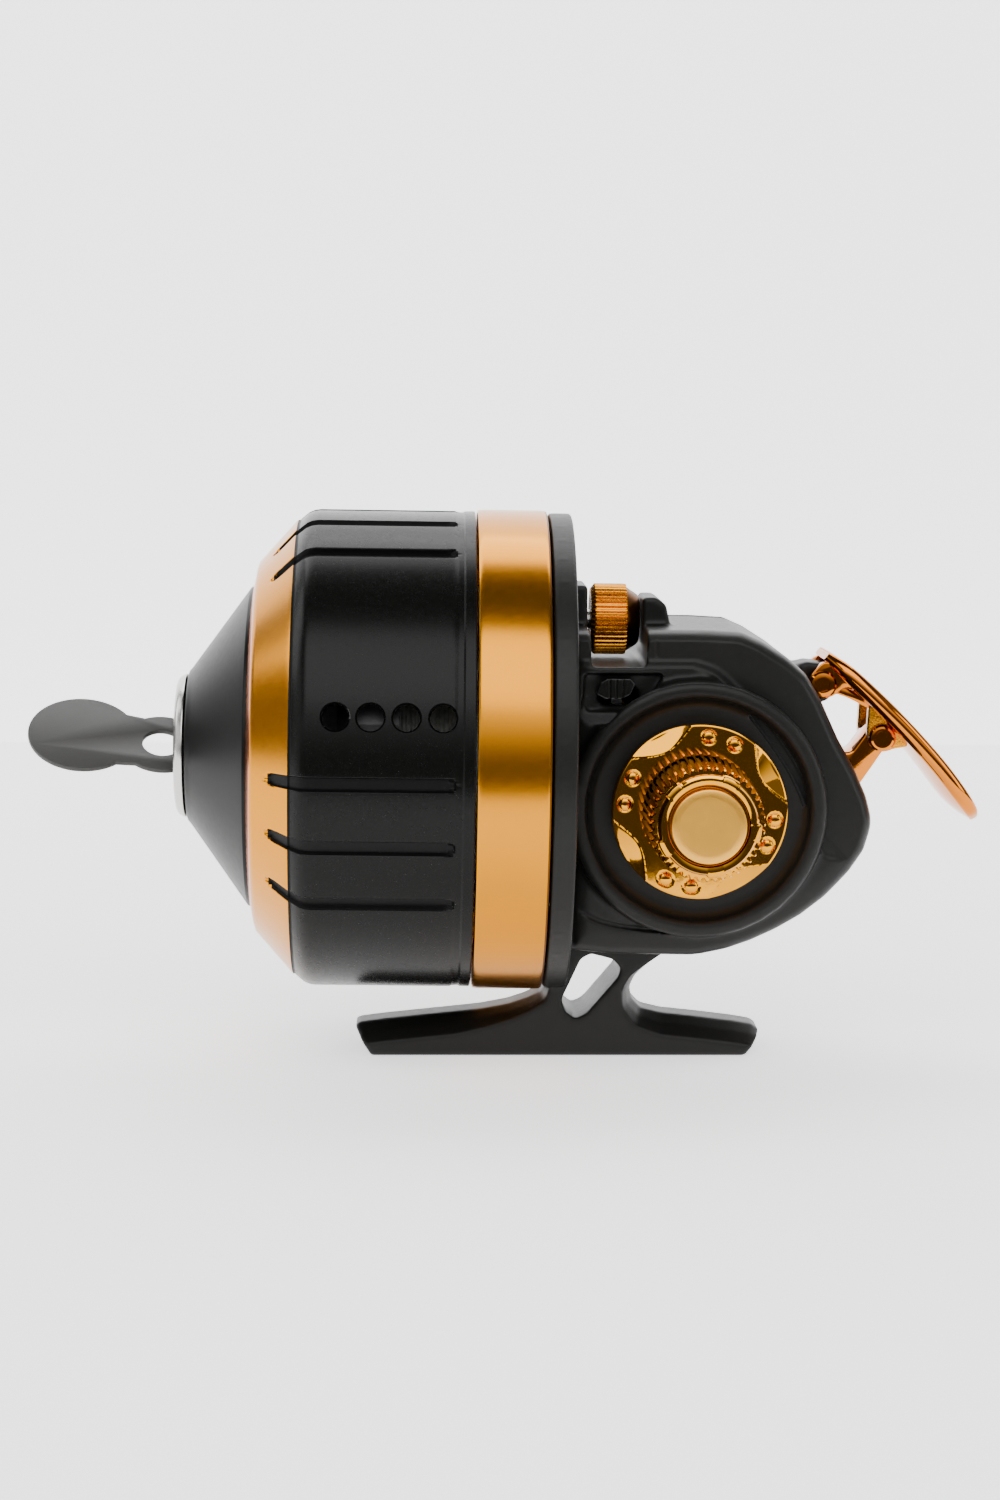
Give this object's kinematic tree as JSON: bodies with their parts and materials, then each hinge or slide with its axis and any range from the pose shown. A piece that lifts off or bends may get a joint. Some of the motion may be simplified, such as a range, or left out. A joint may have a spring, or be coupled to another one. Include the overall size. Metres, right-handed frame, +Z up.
{
  "type": "spincast fishing reel",
  "caption": "Closed-face spincast fishing reel with a two-tone cover, knurled drag wheel, scalloped handle cap, crank handle, thumb lever and a foot for a rod's reel seat.",
  "frame": {"origin": "centre of the reel foot's flat underside", "axes": "+Z up out of the foot, -X towards the nose along the rod, +Y towards the crank handle"},
  "size_m": [0.1479, 0.0995, 0.0846],
  "materials": {
    "black_plastic": "matt black",
    "brass": "machined",
    "brown_felt": "pressed felt",
    "cast_alloy": "machined",
    "gloss_black": "smooth black",
    "gold_anodised": "gold anodised, turned",
    "gold_chrome": "gold chrome",
    "grey_plastic": "matt dark grey",
    "nylon_line": "monofilament",
    "orange_gold_chrome": "orange gold chrome",
    "polished_steel": "polished",
    "satin_black": "satin black paint on cast alloy",
    "white_nylon": "moulded"
  },
  "bodies": {
    "frame": {"main_frame": "satin_black", "side_cover": "satin_black", "side_cover_screw_1": "polished_steel", "side_cover_screw_2": "polished_steel", "side_cover_screw_3": "polished_steel", "side_cover_screw_4": "polished_steel", "crank_bearing_near": "polished_steel", "crank_bearing_far": "polished_steel", "pinion_bearing": "polished_steel", "spool_clip": "polished_steel", "drag_washer": "brown_felt", "pawl_pin": "polished_steel", "lever_pivot_pin": "orange_gold_chrome", "return_spring": "polished_steel"},
    "cover": {"front_cover": "gold_anodised", "nose_cone": "gloss_black", "nose_ring": "polished_steel", "cover_band": "gold_anodised"},
    "tab": {"line_tab": "grey_plastic"},
    "spool": {"spool": "cast_alloy", "line_winding": "nylon_line"},
    "drag_wheel": {"drag_wheel": "gold_anodised"},
    "drag_plate": {"drag_rod": "polished_steel", "drag_plate": "polished_steel"},
    "plunger": {"push_plunger": "white_nylon"},
    "shaft": {"center_shaft": "polished_steel", "spinner_head": "cast_alloy", "spinner_nut": "brass"},
    "pin_1": {"pickup_pin_1": "brass"},
    "pin_2": {"pickup_pin_2": "brass"},
    "pinion": {"pinion_gear": "brass"},
    "crank": {"drive_gear": "brass", "crankshaft": "polished_steel", "ratchet_wheel": "polished_steel", "crank_arm": "satin_black", "crank_nut": "gold_chrome", "knob_pin": "polished_steel", "cap_flange": "gold_chrome", "cap_knob": "gold_chrome", "cap_disc": "gold_chrome"},
    "knob": {"handle_knob": "black_plastic", "knob_cap": "gold_anodised"},
    "pawl": {"pawl": "polished_steel"},
    "switch": {"anti_reverse_switch": "gloss_black"},
    "lever": {"thumb_lever": "orange_gold_chrome", "lever_arm": "orange_gold_chrome", "lever_rivet": "orange_gold_chrome"}
  },
  "joints": [
    {"name": "cover_pull", "type": "slide", "parent": "frame", "child": "cover", "axis": [-1, 0, 0.0096], "range_m": [0, 0.045]},
    {"name": "line_tab_swing", "type": "hinge", "parent": "cover", "child": "tab", "pos_m": [-0.0616, 0, 0.0479], "axis": [0, 1, 0], "range_deg": [-10, 10]},
    {"name": "spool_slip", "type": "hinge", "parent": "frame", "child": "spool", "pos_m": [0, 0, 0.04725], "axis": [1, 0, -0.0096], "continuous": true},
    {"name": "drag_turn", "type": "hinge", "parent": "frame", "child": "drag_wheel", "pos_m": [0.0087, 0, 0.06782], "axis": [1, 0, -0.0096], "range_deg": [-180, 180]},
    {"name": "drag_press", "type": "slide", "parent": "frame", "child": "drag_plate", "axis": [-1, 0, 0.0096], "range_m": [-0.00025, 0.00025]},
    {"name": "handle_spin", "type": "hinge", "parent": "frame", "child": "crank", "pos_m": [0.0205, 0, 0.0406], "axis": [0, 1, 0], "continuous": true},
    {"name": "pinion_spin", "type": "hinge", "parent": "frame", "child": "pinion", "pos_m": [0, 0, 0.04725], "axis": [1, 0, -0.0096], "continuous": true},
    {"name": "plunger_slide", "type": "slide", "parent": "frame", "child": "plunger", "axis": [-1, 0, 0.0096], "range_m": [0, 0.0031], "stiffness_N_per_m": 300, "springref_m": -0.002, "deforming": ["return_spring"]},
    {"name": "shaft_spin", "type": "hinge", "parent": "plunger", "child": "shaft", "pos_m": [0, 0, 0.04725], "axis": [1, 0, -0.0096], "continuous": true},
    {"name": "pin_1_slide", "type": "slide", "parent": "shaft", "child": "pin_1", "axis": [0.0096, 0, 1], "range_m": [0, 0.0022]},
    {"name": "pin_2_slide", "type": "slide", "parent": "shaft", "child": "pin_2", "axis": [-0.0096, 0, -1], "range_m": [0, 0.0022]},
    {"name": "knob_spin", "type": "hinge", "parent": "crank", "child": "knob", "pos_m": [-0.0215, 0.05, 0.0406], "axis": [0, 1, 0], "continuous": true},
    {"name": "thumb_lever", "type": "hinge", "parent": "frame", "child": "lever", "pos_m": [0.0406, 0, 0.0583], "axis": [0, 1, 0], "range_deg": [0, 15]},
    {"name": "switch_slide", "type": "slide", "parent": "frame", "child": "switch", "axis": [1, 0, 0], "range_m": [0, 0.003]},
    {"name": "pawl_swing", "type": "hinge", "parent": "frame", "child": "pawl", "pos_m": [0.0085, -0.01, 0.0505], "axis": [0, 1, 0], "range_deg": [0, 25]}
  ],
  "couplings": [
    {"joint": "pinion_spin", "follows": "handle_spin", "ratio": 3.6},
    {"joint": "shaft_spin", "follows": "handle_spin", "ratio": 3.6},
    {"joint": "thumb_lever", "follows": "plunger_slide", "rad_per_m": 84.4},
    {"joint": "pin_1_slide", "follows": "plunger_slide", "ratio": 0.675},
    {"joint": "pin_2_slide", "follows": "plunger_slide", "ratio": 0.675},
    {"joint": "drag_turn", "follows": "drag_press", "rad_per_m": 12566},
    {"joint": "pawl_swing", "follows": "switch_slide", "rad_per_m": 143}
  ]
}
